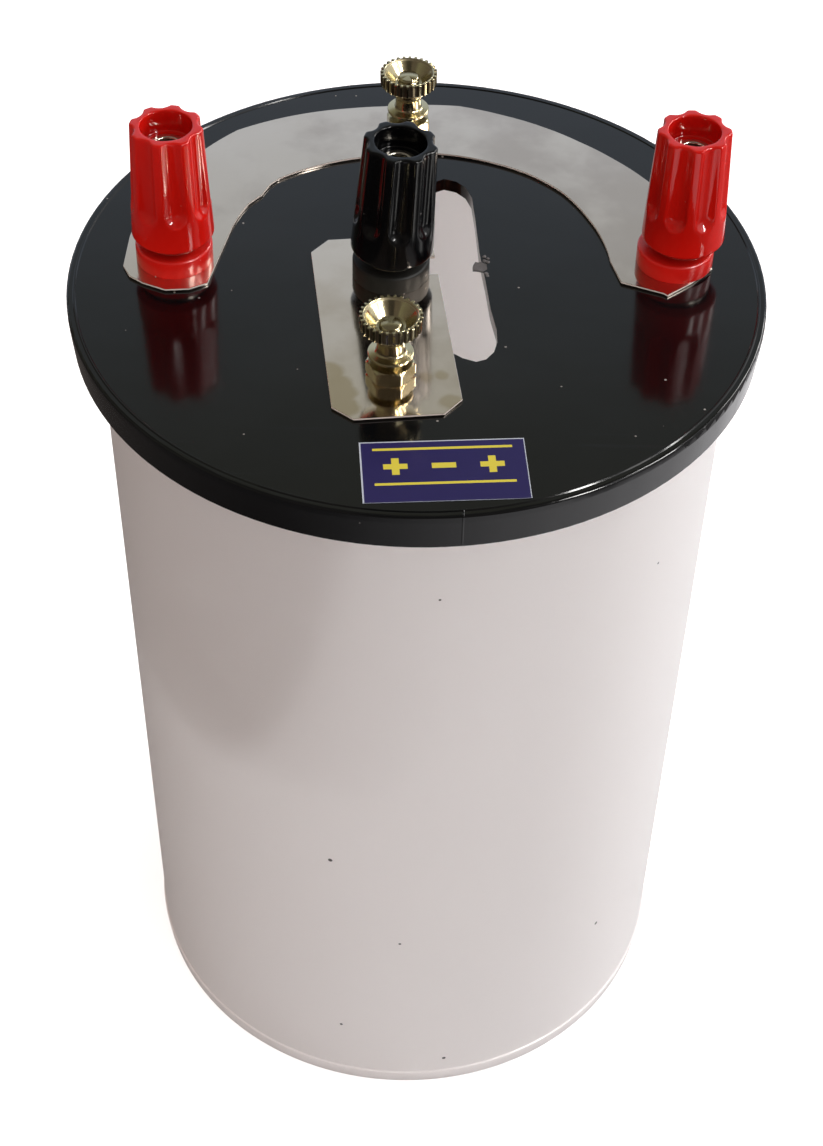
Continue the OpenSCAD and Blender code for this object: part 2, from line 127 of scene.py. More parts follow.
class Finish:
    """The node tree of one material or of the world, built up from nodes that are set and linked at once."""

    def __init__(self, owner):
        owner.use_nodes = True
        self.owner = owner
        self.tree = owner.node_tree
        self.tree.nodes.clear()

    def node(self, kind, settings, sockets, out=0):
        node = self.tree.nodes.new(kind)
        for name, value in settings.items():
            setattr(node, name, value)
        for name, value in sockets.items():
            if isinstance(value, Amount):
                self.tree.links.new(value.socket, node.inputs[name])
            else:
                node.inputs[name].default_value = value
        return Amount(node.outputs[out]) if len(node.outputs) else None

    def seen(self):
        """One where the eye, a polished surface or clear stuff looks, and zero for plain light."""
        rays = ["Is Camera Ray", "Is Glossy Ray", "Is Transmission Ray"]
        camera_ray, glossy_ray, clear_ray = [self.node("ShaderNodeLightPath", {}, {}, ray) for ray in rays]
        return 1 - (1 - camera_ray) * (1 - glossy_ray) * (1 - clear_ray)

    def blend(self, amount, first, second):
        """Colour that goes from first to second as amount goes from 0 to 1."""
        return self.node("ShaderNodeMix", {"data_type": "RGBA"}, {0: amount, 6: first, 7: second}, 2)

    def rise(self, amount, low, high):
        """Goes smoothly from 0 at low to 1 at high."""
        return self.node(
            "ShaderNodeMapRange",
            {"interpolation_type": "SMOOTHSTEP"},
            {"Value": amount, "From Min": low, "From Max": high},
        )

    def glow(self, colour, strength=1):
        return self.node("ShaderNodeEmission", {}, {"Color": colour, "Strength": strength})


floor_size = 6
floor_gap = 0.0001  # keeps the floor clear of the jar's foot
floor_colour = (0.86, 0.85, 0.85, 1)
floor_glow = 0.6
# Colours of the painted shade and painted light that polished surfaces see on the floor.
shaded_floor = (0.08, 0.07, 0.065, 1)
sunlit_floor = (1.1, 1.08, 1.1, 1)
bpy.ops.mesh.primitive_plane_add(size=floor_size, location=(0, 0, -floor_gap))
floor = bpy.context.object
floor.name = "floor"
floor_finish = Finish(bpy.data.materials.new("pale_floor"))
matt = floor_finish.node("ShaderNodeBsdfDiffuse", {}, {"Color": floor_colour})
white = floor_finish.glow((1, 1, 1, 1), floor_finish.seen() * floor_glow)
plain = floor_finish.node("ShaderNodeAddShader", {}, {0: matt, 1: white})
# Polished surfaces see the floor with painted light that grows towards the right, and painted shade to the
# left, far right and front right. The camera sees the floor plain.
floor_place = floor_finish.node("ShaderNodeTexCoord", {}, {}, "Object")
floor_x = floor_finish.node("ShaderNodeSeparateXYZ", {}, {"Vector": floor_place}, "X")
floor_y = floor_finish.node("ShaderNodeSeparateXYZ", {}, {"Vector": floor_place}, "Y")
past_sun = 0.85 * floor_finish.rise(floor_x, 0.205, 0.255)
painted_front_shade = 0.8 * floor_finish.rise(floor_x, 0.17, 0.21) * floor_finish.rise(floor_y, -0.08, -0.14)
sunlit = floor_finish.rise(floor_x, -0.14, 0.20) * (1 - past_sun) * (1 - painted_front_shade)
mirrored = floor_finish.glow(floor_finish.blend(sunlit, shaded_floor, sunlit_floor))
in_mirror = floor_finish.node("ShaderNodeLightPath", {}, {}, "Is Glossy Ray")
floor_surface = floor_finish.node("ShaderNodeMixShader", {}, {0: in_mirror, 1: plain, 2: mirrored})
floor_finish.node("ShaderNodeOutputMaterial", {}, {"Surface": floor_surface})
floor.data.materials.append(floor_finish.owner)

left_light = (0.275, 0.165, 0.10, 1)
right_light = (1.22, 1.18, 1.195, 1)
surround = Finish(bpy.data.worlds.new("surround"))
bpy.context.scene.world = surround.owner
direction = surround.node("ShaderNodeTexCoord", {}, {}, "Generated")
sideways = surround.node("ShaderNodeSeparateXYZ", {}, {"Vector": direction}, "X")
soft_light = surround.blend(sideways * 0.5 + 0.5, left_light, right_light)
backdrop = surround.blend(surround.seen(), soft_light, (1, 1, 1, 1))
surround_light = surround.node("ShaderNodeBackground", {}, {"Color": backdrop, "Strength": 1})
surround.node("ShaderNodeOutputWorld", {}, {"Surface": surround_light})


def screen(name, middle, turn, size, colour, high_colour=None, low=0, high=1):
    """A flat screen that only polished surfaces see. Its colour may change between two heights."""
    bpy.ops.mesh.primitive_plane_add(size=1, location=middle, rotation=turn)
    panel = bpy.context.object
    panel.name = name
    panel.scale = (*size, 1)
    paint = Finish(bpy.data.materials.new(name))
    place = paint.node("ShaderNodeNewGeometry", {}, {}, "Position")
    height = paint.node("ShaderNodeSeparateXYZ", {}, {"Vector": place}, "Z")
    light = paint.glow(paint.blend(paint.rise(height, low, high), colour, high_colour or colour))
    paint.node("ShaderNodeOutputMaterial", {}, {"Surface": light})
    panel.data.materials.append(paint.owner)
    for kind in ("camera", "diffuse", "transmission", "volume_scatter", "shadow"):
        setattr(panel, "visible_" + kind, False)


def standing(degrees=0):
    """The turn of an upright screen, by an angle about the vertical."""
    return math.pi / 2, 0, math.radians(degrees)


back_low = (0.70, 0.80, 0.95, 1)
back_high = (0.30, 0.30, 0.22, 1)
above = (0.15, 0.14, 0.12, 1)
dim = (0.16, 0.135, 0.115, 1)
dark = (0.05, 0.045, 0.04, 1)
screen("back_wall", (0, 2.2, 1.5), standing(), (5, 3), back_low, back_high, 1.3, 2.5)
screen("ceiling", (0, 0, 3), (0, 0, 0), (5, 4.4), above)
screen("left_wall", (-2.5, 0, 1.5), (0, math.pi / 2, 0), (3, 4.4), dim, back_high, 0.5, 3)
screen("front_wall", (0, -2.2, 1.5), standing(), (5, 3), dim)
screen("photographer", (0, -0.85, 0.95), (math.radians(50), 0, 0), (0.5, 0.7), dark)

# The windows' panes are tall and narrow, so that their light on the posts' flutes is a thin streak.
# They stand at the back right, the right and the front right, and behind them is a wide hazy one.
sky = (13, 12.7, 12.5, 1)
screen("back_pane", (1.2, 1.1, 1.25), standing(-47), (0.35, 1), sky)
sun = (30, 29.5, 29, 1)
screen("side_pane", (1.5, -0.13, 1.3), standing(-95), (0.22, 1.2), sun)
glare = (55, 54, 52.5, 1)
screen("front_pane", (1.2, -0.9, 1.15), standing(-127), (0.2, 0.9), glare)
hazy = (4, 3.9, 3.85, 1)
screen("wide_pane", (1.9, -0.35, 1.3), standing(-90), (0.9, 0.6), hazy)
object_middle = Vector((0, 0, 0.1))


def lamp(name, place, size, energy, colour):
    """A rectangular lamp that is aimed at the object, and that polished surfaces don't mirror."""
    bpy.ops.object.light_add(type="AREA", location=place)
    light = bpy.context.object
    light.name = name
    light.data.shape = "RECTANGLE"
    light.data.size, light.data.size_y = size
    light.data.energy = energy
    light.data.color = colour
    light.rotation_euler = (object_middle - light.location).to_track_quat("-Z", "Y").to_euler()
    light.visible_glossy = False


lamp("window", (1.5, 0.7, 0.95), (0.25, 0.9), 20, (1, 0.98, 0.97))

# Two lamps in front reach all of the jar but its upper left, which lies in a round shade's shadow.
# The wide one softens the shadow's right side, and a level shade keeps both off the lid and the posts.
lamp("front_lamp", (-0.3, -1.6, 0.3), (0.035, 0.03), 3.4, (1, 0.99, 1))
lamp("wide_lamp", (-0.4, -1.6, 0.3), (0.16, 0.03), 2.9, (1, 0.99, 1))
shade_y = -0.3
bpy.ops.mesh.primitive_plane_add(size=1, location=(-0.05, shade_y, 0.2465), rotation=standing())
level_shade = bpy.context.object
level_shade.name = "level_shade"
level_shade.scale = (0.4, 0.08, 1)
shade_outline = [
    (-0.0555, 0.192), (-0.0574, 0.1824), (-0.059, 0.1726), (-0.0618, 0.1595), (-0.0646, 0.1495),
    (-0.0714, 0.1361), (-0.0772, 0.1292), (-0.0822, 0.1276), (-0.0881, 0.1296), (-0.0968, 0.133),
    (-0.106, 0.1392), (-0.115, 0.1515), (-0.12, 0.165), (-0.125, 0.193),
]
bpy.ops.mesh.primitive_circle_add(vertices=len(shade_outline), fill_type="NGON")
shade = bpy.context.object
shade.name = "round_shade"
for vertex, (x, z) in zip(shade.data.vertices, shade_outline):
    vertex.co = (x, shade_y, z)
for piece in (shade, level_shade):
    for kind in ("camera", "glossy", "diffuse", "transmission"):
        setattr(piece, "visible_" + kind, False)


# Jar. One blow of pinkish-white plastic that lets light through, slightly tapered, with an upright
# foot under a thin lip and a thick rim that the lid pushes over. It is turned from its outline.
mm = 0.001
jar_wall = 2 * mm
jar_floor = 2.5 * mm
jar_draft = 2.3 * mm
foot_round = 0.8 * mm
lip_reach = 0.3 * mm
lip_foot = 3.2 * mm
lip_h = 0.9 * mm
rim_reach = 2.8 * mm
rim_h = 5 * mm


def rounded(outline):
    """Points of a closed outline of (radius, height, rounding) corners, with an arc at each rounding."""
    arc_points = 5
    points = []
    count = len(outline)
    for i, (r, z, rounding) in enumerate(outline):
        corner = Vector((r, z))
        if rounding == 0:
            points.append(corner)
            continue
        back = (Vector(outline[i - 1][:2]) - corner).normalized()
        ahead = (Vector(outline[(i + 1) % count][:2]) - corner).normalized()
        half = back.angle(ahead) / 2
        centre = corner + (back + ahead).normalized() * rounding / math.sin(half)
        start = corner + back * rounding / math.tan(half) - centre
        end = corner + ahead * rounding / math.tan(half) - centre
        for k in range(arc_points):
            points.append(centre + start.slerp(end, k / (arc_points - 1)) * rounding)
    return points


def stepped(points, longest):
    """The same closed outline with its long straights cut into steps no longer than this."""
    fine = []
    for here, there in zip(points, points[1:] + points[:1]):
        steps = max(1, math.ceil((there - here).length / longest))
        fine += [here.lerp(there, k / steps) for k in range(steps)]
    return fine


def clear_selection():
    bpy.ops.object.select_all(action="DESELECT")


def turned(name, outline, segments):
    """Spins a closed outline of (radius, height) points once round the upright axis."""
    clear_selection()
    bpy.ops.mesh.primitive_circle_add(vertices=len(outline))
    piece = bpy.context.object
    piece.name = name
    for vertex, (r, z) in zip(piece.data.vertices, outline):
        vertex.co = (r, 0, z)
    bpy.ops.object.mode_set(mode="EDIT")
    bpy.ops.mesh.select_all(action="SELECT")
    bpy.ops.mesh.spin(
        steps=segments, angle=2 * math.pi, center=(0, 0, 0), axis=(0, 0, 1), use_auto_merge=True
    )
    bpy.ops.mesh.select_all(action="SELECT")
    bpy.ops.mesh.remove_doubles(threshold=0.001 * mm)
    bpy.ops.mesh.normals_make_consistent(inside=False)
    bpy.ops.object.mode_set(mode="OBJECT")
    return piece


def smoothed(piece, degrees=32):
    """Shades a piece smooth, apart from edges sharper than this."""
    clear_selection()
    piece.select_set(True)
    bpy.context.view_layer.objects.active = piece
    bpy.ops.object.shade_smooth_by_angle(angle=math.radians(degrees))
    return piece


def fitted(piece, finish, body, slot, *nodes):
    """Gives a finished piece its material, the body that carries it and the nodes that it stands for."""
    piece.data.materials.clear()
    piece.data.materials.append(finish)
    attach(piece, body)
    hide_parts(*nodes)
    return piece


class Stuff(Finish):
    """A material for a piece, with the patterns that the pieces share. Sizes are in metres."""

    def __init__(self, name, middle=(0, 0, 0), turn=(0, 0, 0)):
        super().__init__(bpy.data.materials.new(name))
        place = self.node("ShaderNodeTexCoord", {}, {}, "Object")
        self.place = self.node(
            "ShaderNodeMapping",
            {"vector_type": "TEXTURE"},
            {"Vector": place, "Location": middle, "Rotation": turn},
        )

    def along(self, axis):
        return self.node("ShaderNodeSeparateXYZ", {}, {"Vector": self.place}, axis)

    def from_axis(self):
        """Distance from the piece's upright axis."""
        flat = self.node("ShaderNodeVectorMath", {"operation": "MULTIPLY"}, {0: self.place, 1: (1, 1, 0)})
        return self.node("ShaderNodeVectorMath", {"operation": "LENGTH"}, {0: flat}, "Value")

    def away_from(self, spot):
        """Distance from a spot of the piece."""
        ends = {0: self.place, 1: spot}
        return self.node("ShaderNodeVectorMath", {"operation": "DISTANCE"}, ends, "Value")

    def noise(self, size, detail=3, stretch=(1, 1, 1)):
        where = self.place
        if stretch != (1, 1, 1):
            where = self.node(
                "ShaderNodeVectorMath", {"operation": "DIVIDE"}, {0: self.place, 1: stretch}
            )
        return self.node("ShaderNodeTexNoise", {}, {"Vector": where, "Scale": 1 / size, "Detail": detail}, 0)

    def dots(self, spacing, radius):
        """One inside scattered dots that are up to this radius, and zero between them."""
        near = self.node(
            "ShaderNodeTexVoronoi", {}, {"Vector": self.place, "Scale": 1 / spacing}, "Distance"
        )
        return self.rise(near, radius / spacing, 0.6 * radius / spacing)

    def relief(self, height, depth):
        """Surface normal of a relief whose height, from 0 to 1, stands for this depth."""
        return self.node("ShaderNodeBump", {}, {"Height": height, "Distance": depth, "Strength": 1})

    def made(self, sockets):
        shader = self.node("ShaderNodeBsdfPrincipled", {}, sockets)
        self.node("ShaderNodeOutputMaterial", {}, {"Surface": shader})
        return self.owner


jar_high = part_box("jar")[1]
jar_h = jar_high.z
rim_r = jar_high.x
jar_top_r = rim_r - rim_reach
jar_in_r = jar_top_r - jar_wall
jar_foot_r = jar_top_r - jar_draft
cove_foot = jar_h - rim_h - rim_reach
wall_slope = jar_draft / (jar_h - lip_foot)
cove_foot_r = jar_top_r - wall_slope * (jar_h - cove_foot)
edge = 0.4 * mm
jar_outline = rounded([
    (0, 0, 0),
    (jar_foot_r, 0, foot_round),
    (jar_foot_r, lip_foot, 0),
    (jar_foot_r + lip_reach, lip_foot + 0.2 * mm, 0.15 * mm),
    (jar_foot_r + lip_reach, lip_foot + lip_h - 0.25 * mm, 0.15 * mm),
    (jar_foot_r, lip_foot + lip_h, 0),
    (cove_foot_r, cove_foot, rim_reach * 0.9),
    (rim_r, jar_h - rim_h, edge),
    (rim_r, jar_h, edge),
    (jar_in_r, jar_h, edge),
    (jar_foot_r - jar_wall, jar_floor, 1.5 * mm),
    (0, jar_floor, 0),
])
jar = smoothed(turned("jar_moulding", jar_outline, 288))

plastic = Stuff("jar_plastic")
clouds = plastic.noise(0.11, 2)
streaks = plastic.noise(0.02, 3, (1, 1, 14))
body_colour = plastic.blend(
    plastic.rise(clouds, 0.35, 0.7), (0.955, 0.86, 0.845, 1), (0.95, 0.875, 0.858, 1)
)
body_colour = plastic.blend(streaks * 0.25, body_colour, (0.965, 0.90, 0.887, 1))
speck_places = [
    ((-0.0143, -0.0542, 0.0759), 0.00055), ((0.0407, -0.0378, 0.0352), 0.0005),
    ((0.0094, -0.0544, 0.0084), 0.0005), ((-0.0005, -0.0557, 0.0511), 0.00035),
    ((-0.0125, -0.0539, 0.0196), 0.0004), ((0.0051, -0.0569, 0.1514), 0.0003),
]
specks = plastic.dots(0.03, 0.0004)
for speck, speck_r in speck_places:
    specks = specks + plastic.rise(plastic.away_from(speck), speck_r, 0.6 * speck_r)
jar_plastic = plastic.made({
    "Base Color": plastic.blend(plastic.rise(specks, 0, 1), body_colour, (0.06, 0.05, 0.05, 1)),
    "Roughness": 0.29 + 0.08 * clouds,
    "Normal": plastic.relief(plastic.noise(0.03, 2), 0.00025),
    "Subsurface Weight": 1,
    "Subsurface Radius": (1, 1, 1),
    "Subsurface Scale": 0.012,
    "IOR": 1.46,
})
fitted(jar, jar_plastic, "jar", "white_plastic", "jar")


# Lid. A push-on cover moulded in glossy black plastic, with a raised bead inside its rounded edge.
# The long slot was sawn out by hand and the five holes were drilled.
def traced(name, node):
    """A copy of a node's mesh with its loose triangles joined, and its flat faces made whole again."""
    clear_selection()
    piece = frame["nodes"][node].copy()
    piece.data = piece.data.copy()
    piece.name = name
    piece.parent = None
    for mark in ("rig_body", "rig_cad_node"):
        del piece[mark]
    bpy.context.scene.collection.objects.link(piece)
    bpy.context.view_layer.objects.active = piece
    piece.select_set(True)
    bpy.ops.object.mode_set(mode="EDIT")
    bpy.ops.mesh.select_all(action="SELECT")
    bpy.ops.mesh.remove_doubles(threshold=0.002 * mm)
    bpy.ops.mesh.dissolve_limited(angle_limit=math.radians(1))
    bpy.ops.object.mode_set(mode="OBJECT")
    for old in [layer.name for layer in piece.data.attributes if layer.name == "custom_normal"]:
        piece.data.attributes.remove(piece.data.attributes[old])
    return piece


def broken_edges(piece, width, steps=2, degrees=40):
    """Takes the sharpness off a piece's edges."""
    bevel = piece.modifiers.new("broken_edges", "BEVEL")
    bevel.width = width
    bevel.segments = steps
    bevel.limit_method = "ANGLE"
    bevel.angle_limit = math.radians(degrees)
    bevel.harden_normals = False
    bevel.use_clamp_overlap = True
    bpy.context.view_layer.objects.active = piece
    bpy.ops.object.modifier_apply(modifier=bevel.name)
    return piece


def flattened(piece):
    """Keeps a piece's large flat faces flat in the light, beside the small rounded edges."""
    weighted = piece.modifiers.new("weighted_normals", "WEIGHTED_NORMAL")
    weighted.mode = "FACE_AREA"
    weighted.keep_sharp = True
    clear_selection()
    piece.select_set(True)
    bpy.context.view_layer.objects.active = piece
    bpy.ops.object.modifier_apply(modifier=weighted.name)
    return piece


lid_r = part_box("lid")[1].x
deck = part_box("anode_link")[1].z
lid_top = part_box("anode_link")[0].z
cad_round = 1.3 * mm
cad_bead_r = lid_r - 2.6 * mm
cad_bead_half = 0.9 * mm
lid_round = 0.5 * mm
bead_r = lid_r - 1.4 * mm
bead_half = 0.5 * mm
bead_share = 0.55
seam_x = 8.3 * mm

# The moulding's rim is sharper, and its bead slimmer and nearer the edge, than the plain solid's.
lid = traced("lid_moulding", "lid")
for vertex in lid.data.vertices:
    x, y, z = vertex.co
    r = math.hypot(x, y)
    out = r - (lid_r - cad_round)
    up = z - (lid_top - cad_round)
    new_r, new_z = r, z
    if out > -0.01 * mm and up > -0.01 * mm and math.hypot(out, up) > 0.95 * cad_round:
        swing = math.atan2(max(0, up), max(0, out))
        new_r = lid_r - lid_round + lid_round * math.cos(swing)
        new_z = lid_top - lid_round + lid_round * math.sin(swing)
    elif abs(r - cad_bead_r) < 1.02 * cad_bead_half and up > cad_round - 0.01 * mm:
        new_r = bead_r + (r - cad_bead_r) * bead_half / cad_bead_half
        new_z = lid_top + (z - lid_top) * bead_share
    vertex.co = (x * new_r / r, y * new_r / r, new_z)
lid = flattened(smoothed(broken_edges(lid, 0.12 * mm, 2, 50), 40))

gloss = Stuff("lid_plastic")
haze = gloss.noise(0.035, 4)
dust = gloss.dots(0.0055, 0.00026) * gloss.rise(gloss.noise(0.02, 1), 0.38, 0.56)
scratches = gloss.rise(gloss.noise(0.004, 2, (12, 0.35, 1)), 0.66, 0.72)
seam_off = abs(gloss.along("X") - seam_x)
seam = gloss.rise(seam_off, 0.00018, 0.00008) * gloss.rise(gloss.along("Y"), -0.0605, -0.061)
lid_colour = gloss.blend(
    gloss.rise(haze, 0.4, 0.75), (0.0022, 0.0026, 0.0032, 1), (0.0042, 0.0046, 0.0052, 1)
)
lid_plastic = gloss.made({
    "Base Color": gloss.blend(dust, lid_colour, (0.32, 0.31, 0.29, 1)),
    "Roughness": 0.08 + 0.06 * haze + 0.1 * scratches + 0.4 * dust,
    "Normal": gloss.relief(gloss.noise(0.018, 2) + 1.2 * seam, 0.00004),
    "IOR": 1.42,
})
fitted(lid, lid_plastic, "lid", "black_plastic", "lid")

# A torn flake that the saw left on the slot's right side, with crumbs at its root.
random.seed(7)
flake_outline = [
    (10.46, 4.5), (10.1, 3.6), (9.97, 2.9), (10.0, 2.15), (11.0, 1.95), (11.87, 1.7),
    (12.6, 2.5), (12.5, 3.95), (12.0, 4.2), (11.5, 4.5), (11.0, 4.35),
]
bpy.ops.mesh.primitive_circle_add(vertices=len(flake_outline), fill_type="NGON")
flake = bpy.context.object
for vertex, (x, y) in zip(flake.data.vertices, flake_outline):
    vertex.co = (x * mm, y * mm, lid_top + random.uniform(-0.15, 0.05) * mm)
thick = flake.modifiers.new("thickness", "SOLIDIFY")
thick.thickness = 0.35 * mm
thick.offset = 0
bpy.ops.object.modifier_apply(modifier=thick.name)
crumbs = [flake]
crumb_places = [
    (12.1, 6.1, 0.42), (12.75, 5.6, 0.36), (12.1, 4.9, 0.45),
    (12.7, 4.6, 0.4), (12.4, 1.2, 0.4), (12.6, 0.6, 0.32),
]
for x, y, crumb_r in crumb_places:
    crumb_at = (x * mm, y * mm, lid_top)
    bpy.ops.mesh.primitive_ico_sphere_add(subdivisions=2, radius=crumb_r * mm, location=crumb_at)
    crumb = bpy.context.object
    for vertex in crumb.data.vertices:
        vertex.co = vertex.co * random.uniform(0.75, 1.2)
        vertex.co.z = vertex.co.z * 0.5
    bpy.ops.object.transform_apply(location=True, rotation=True, scale=True)
    crumbs.append(crumb)
clear_selection()
for crumb in crumbs:
    crumb.select_set(True)
bpy.context.view_layer.objects.active = flake
bpy.ops.object.join()
flake.name = "saw_flake"
torn = Stuff("torn_plastic")
torn_plastic = torn.made({
    "Base Color": torn.blend(torn.noise(0.0006, 3), (0.05, 0.042, 0.042, 1), (0.13, 0.12, 0.115, 1)),
    "Roughness": 0.6,
    "Normal": torn.relief(torn.noise(0.0004, 3), 0.0001),
})
flake.data.materials.clear()
flake.data.materials.append(torn_plastic)
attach(flake, "lid")


# Sheet links. Two strips snipped by hand from bright tinned sheet, a C-shaped one that joins the
# red posts to the back terminal and a small one from the black post to the front terminal.
def bright_sheet(name, middle, light, dull, stains):
    """Bright sheet with smudges and tan stains, each stain with a place, a reach and a depth. A painted
    highlight makes its cut edges near the top pale and matt.
    """
    sheet = Stuff(name, middle)
    smudge = sheet.noise(0.012, 4)
    fine = sheet.rise(sheet.noise(0.0022, 3, (1, 6, 1)), 0.5, 0.75)
    ragged = 0.004 * sheet.noise(0.006, 2)
    colour = sheet.blend(sheet.rise(smudge + 4 * sheet.along("X"), 0.35, 0.7), light, dull)
    stained = 0
    for stain_place, reach, depth in stains:
        away = sheet.away_from(stain_place) + ragged
        stain = depth * sheet.rise(away, reach + 0.0027, reach + 0.0015)
        stained = stain.result("MAXIMUM", stained, stain)
    colour = sheet.blend(stained, colour, (0.47, 0.36, 0.19, 1))
    # Painted highlight: the sideways-facing cut edges near the sheet's top are pale, matt and hardly
    # metallic, so they show as a thin bright line.
    facing = sheet.node("ShaderNodeNewGeometry", {}, {}, "Normal")
    upward = sheet.node("ShaderNodeSeparateXYZ", {}, {"Vector": facing}, "Z")
    cut = sheet.rise(upward, 0.9, 0.6) * sheet.rise(sheet.along("Z"), -0.00032, -0.0002)
    return sheet.made({
        "Base Color": sheet.blend(cut, colour, (0.72, 0.64, 0.59, 1)),
        "Metallic": 1 - 0.9 * cut,
        "Roughness": 0.06 + 0.07 * smudge + 0.05 * fine + 0.3 * cut,
        "Normal": sheet.relief(sheet.noise(0.02, 1) + 0.02 * fine, 0.00008),
    })


c_link = flattened(smoothed(broken_edges(traced("c_link_sheet", "anode_link"), 0.1 * mm, 2, 30)))
c_link_bright = bright_sheet(
    "c_link_bright", (0, 0, deck), (0.69, 0.60, 0.51, 1), (0.55, 0.47, 0.40, 1),
    [((0.05, -0.02, 0), 0.012, 0.4)]
)
fitted(c_link, c_link_bright, "lid", "bright_sheet", "anode_link")
small_link = flattened(smoothed(broken_edges(traced("small_link_sheet", "cathode_link"), 0.1 * mm, 2, 30)))
small_link_bright = bright_sheet(
    "small_link_bright", (-0.0056, -0.0142, deck), (0.80, 0.70, 0.61, 1), (0.68, 0.58, 0.48, 1),
    [
        ((-0.0090, -0.0135, 0), 0.0026, 0.6), ((-0.0082, -0.0165, 0), 0.0028, 0.6),
        ((-0.0072, -0.0195, 0), 0.0028, 0.6), ((-0.0062, -0.0225, 0), 0.0026, 0.6),
        ((0.0075, -0.0145, 0), 0.0016, 0.5), ((0.0100, -0.0140, 0), 0.0012, 0.5),
        ((0.0117, -0.0205, 0), 0.0017, 0.5),
    ]
)
fitted(small_link, small_link_bright, "lid", "bright_sheet", "cathode_link")


# Label. A navy paper sticker at the front, plain but for two rules and the signs of the plates.
# It is stuck down over the bead, so that its lower edge curls over the lid's rounded rim.
label_w = 27.5 * mm
label_h = 14.6 * mm
label_at = Vector((5.2 * mm, -51.2 * mm))
label_turn = math.radians(4.4)
paper_t = 0.09 * mm
bead_h = 0.35 * mm * bead_share
paper_half = 0.9 * mm


def lid_height(r):
    """Height of the lid under a sheet that bridges the bead."""
    over_bead = max(0, 1 - ((r - bead_r) / paper_half) ** 2)
    drop = max(0, r - (lid_r - lid_round))
    fall = lid_round - math.sqrt(max(0, lid_round ** 2 - drop ** 2))
    return lid_top + bead_h * over_bead ** 2 - fall


clear_selection()
bpy.ops.mesh.primitive_grid_add(x_subdivisions=64, y_subdivisions=40, size=1)
label = bpy.context.object
label.name = "label_paper"
for vertex in label.data.vertices:
    flat = Vector((vertex.co.x * label_w, vertex.co.y * label_h))
    flat.rotate(Matrix.Rotation(label_turn, 2))
    x, y = label_at + flat
    vertex.co = (x, y, lid_height(math.hypot(x, y)) + 0.02 * mm)
thick = label.modifiers.new("thickness", "SOLIDIFY")
thick.thickness = paper_t
thick.offset = 1
bpy.ops.object.modifier_apply(modifier=thick.name)
smoothed(label, 50)

print_ink = Stuff("label_print", (*label_at, lid_top), (0, 0, label_turn))
label_x = print_ink.along("X")
label_y = print_ink.along("Y")


def bar(x_middle, y_middle, half_w, half_h):
    """One inside a rectangle on the label, and zero outside it."""
    soft = 0.05 * mm
    dx = abs(label_x - x_middle)
    dy = abs(label_y - y_middle)
    in_width = print_ink.rise(dx, half_w + soft, half_w - soft)
    in_height = print_ink.rise(dy, half_h + soft, half_h - soft)
    return in_width * in_height


yellow = bar(0, 5.4 * mm, 11.6 * mm, 0.28 * mm)
yellow = yellow + bar(0, -3.0 * mm, 11.6 * mm, 0.28 * mm)
sign = 2.0 * mm
stroke = 0.62 * mm
for x in (-8 * mm, 8 * mm):
    stem = bar(x, 1.2 * mm, stroke, sign)
    crossbar = bar(x, 1.2 * mm, sign, stroke)
    yellow = yellow + stem + crossbar
yellow = yellow + bar(0, 1.2 * mm, sign, stroke)
yellow = print_ink.rise(yellow, 0, 0.9)
inner = bar(0.06 * mm, -0.1 * mm, label_w / 2 - 0.2 * mm, label_h / 2 - 0.12 * mm)
navy = print_ink.blend(print_ink.noise(0.004, 3), (0.010, 0.005, 0.078, 1), (0.014, 0.008, 0.095, 1))
inked = print_ink.blend(yellow, navy, (0.66, 0.58, 0.05, 1))
label_print = print_ink.made({
    "Base Color": print_ink.blend(inner, (0.50, 0.56, 0.64, 1), inked),
    "Roughness": 0.34 + 0.1 * print_ink.noise(0.003, 2),
    "Specular IOR Level": 0.3,
})
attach(label, "lid")
label.data.materials.append(label_print)


# Posts. A moulded collar clamps the sheet, and a fluted cap screws down on the post's threaded stud.
# The cap holds a plated insert with the plug socket; the black post's stud is bent, so it leans.
def smooth_min(a, b, width):
    """The lesser of two radii, blended over this width."""
    share = max(width - abs(a - b), 0) / width
    return min(a, b) - share * share * width / 4


def pressed(piece, depth_at):
    """Presses a turned piece towards its axis, by a depth that depends on angle, height and radius."""
    for vertex in piece.data.vertices:
        x, y, z = vertex.co
        r = math.hypot(x, y)
        if r > 0:
            kept = 1 - depth_at(math.atan2(y, x), z, r) / r
            vertex.co = (x * kept, y * kept, z)
    return piece


def placed(piece, name, joint_axis, turn=0):
    """A copy of a piece made at the origin, turned and stood on an axis: a foot point and a direction."""
    foot, direction = joint_axis
    copy = piece.copy()
    copy.data = piece.data.copy()
    copy.name = name
    bpy.context.scene.collection.objects.link(copy)
    lean = Vector((0, 0, 1)).rotation_difference(Vector(direction)).to_matrix().to_4x4()
    copy.data.transform(Matrix.Translation(foot) @ lean @ Matrix.Rotation(turn, 4, "Z"))
    return copy


def discard(*pieces):
    for piece in pieces:
        bpy.data.objects.remove(piece)


def axis_at(body, height):
    """The screw axis of a cap or thumb nut, as its point at this height and its direction."""
    joint = next(j for j in frame["joints"] if j["child"] == body and j["type"] == "hinge")
    direction = Vector(joint["axis"]).normalized()
    point = Vector(joint["pos_m"])
    return point + direction * (height - point.z) / direction.z, direction


